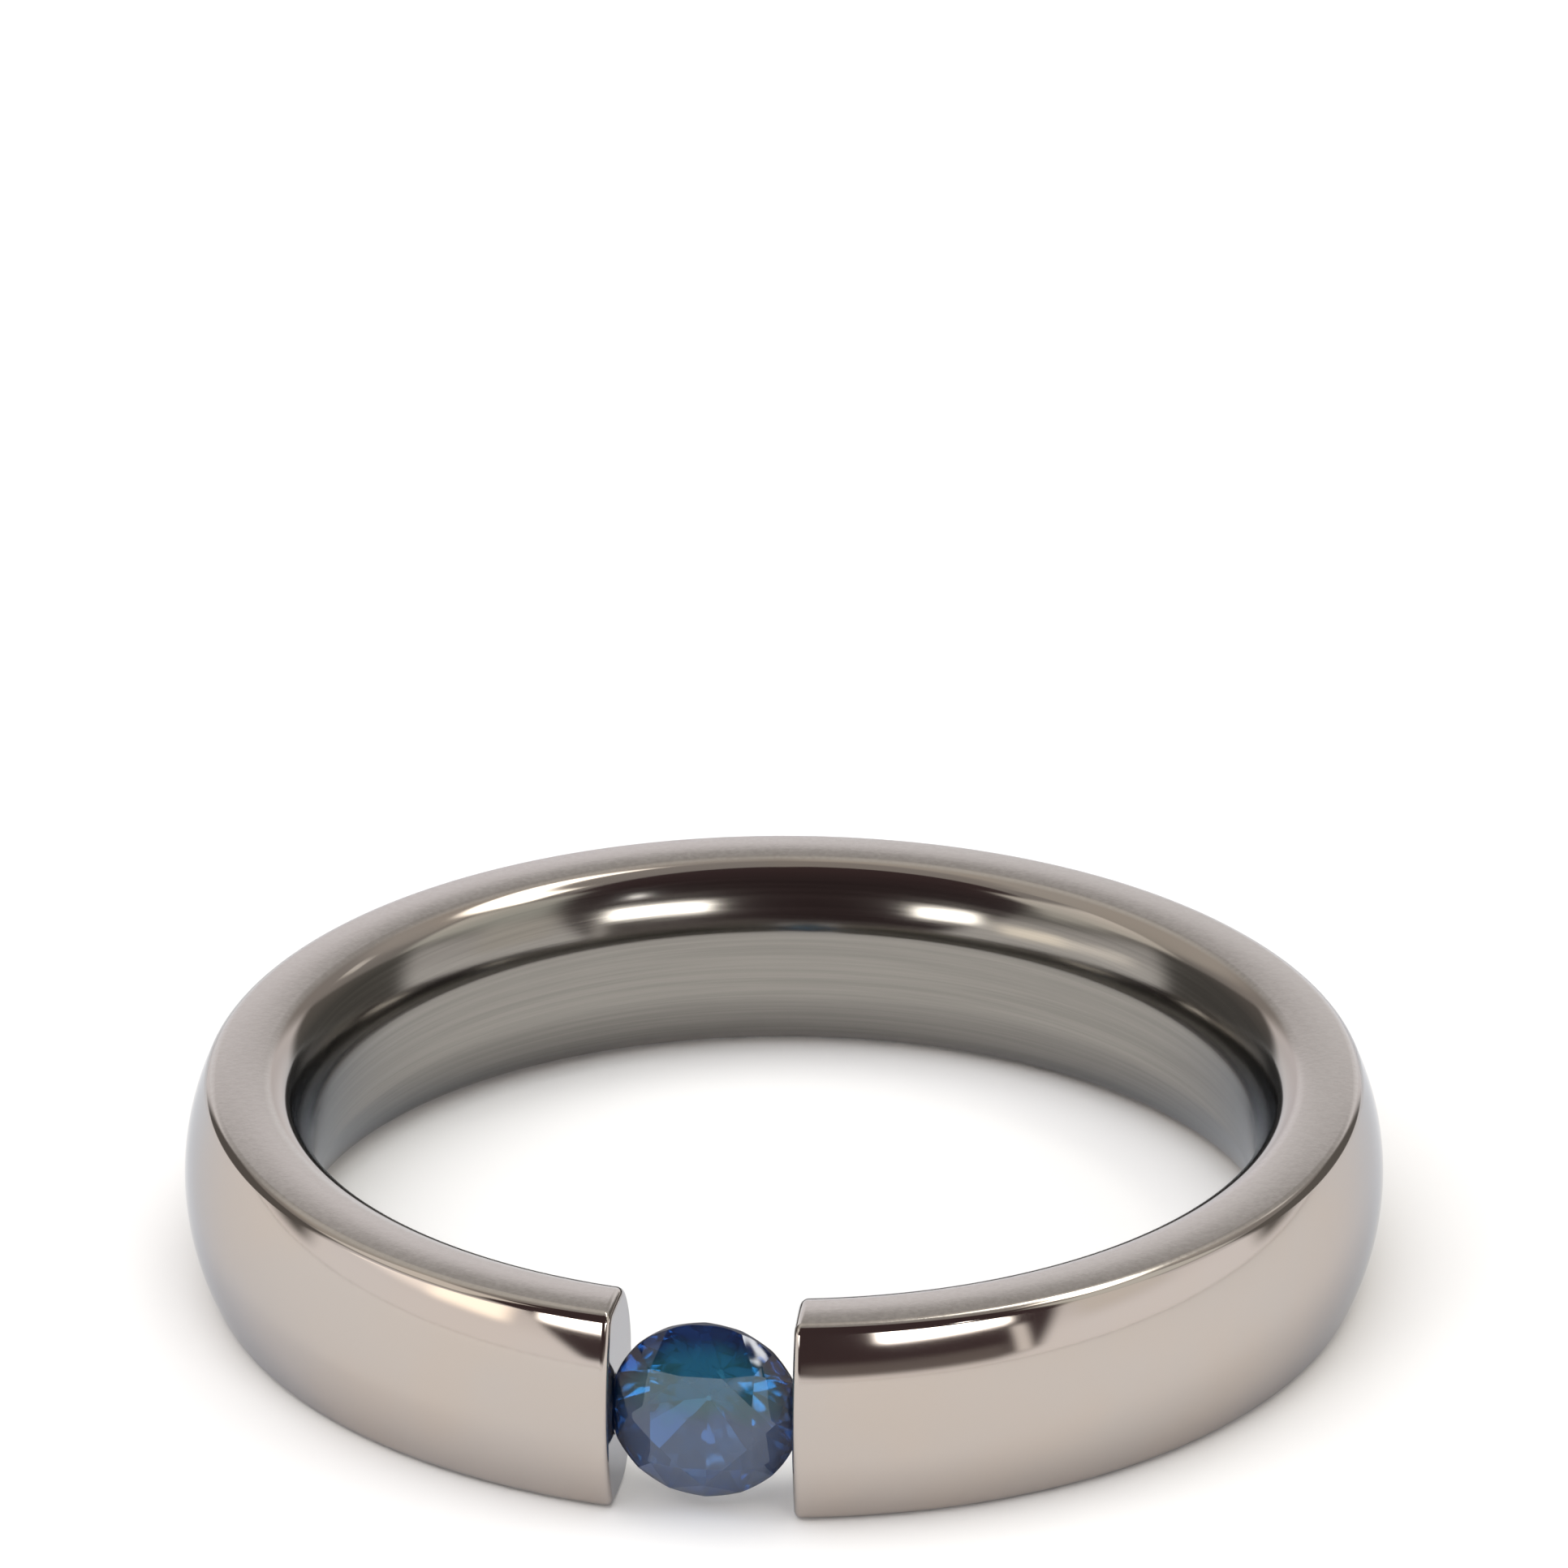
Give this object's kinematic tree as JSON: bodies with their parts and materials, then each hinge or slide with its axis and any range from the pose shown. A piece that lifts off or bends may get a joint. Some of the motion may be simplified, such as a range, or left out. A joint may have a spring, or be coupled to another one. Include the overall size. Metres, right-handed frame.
{
  "type": "titanium ring with a tension-set round blue stone",
  "caption": "Domed titanium band ring with a comfort-fit inner wall, cut through at one place, where its two ends hold a round brilliant-cut blue stone by the girdle.",
  "frame": {"origin": "middle of the finger hole, halfway between the two side faces", "axes": "+Z along the finger hole; the ring lies on its -Z side face; the gap and the stone are towards -Y, and the stone's table faces -Y"},
  "size_m": [0.021, 0.0209, 0.0036],
  "materials": {
    "polished_titanium": "polished",
    "blue_stone": "clear teal-blue corundum with polished facets"
  },
  "bodies": {
    "root": {"band": "polished_titanium", "stone": "blue_stone"}
  },
  "joints": []
}
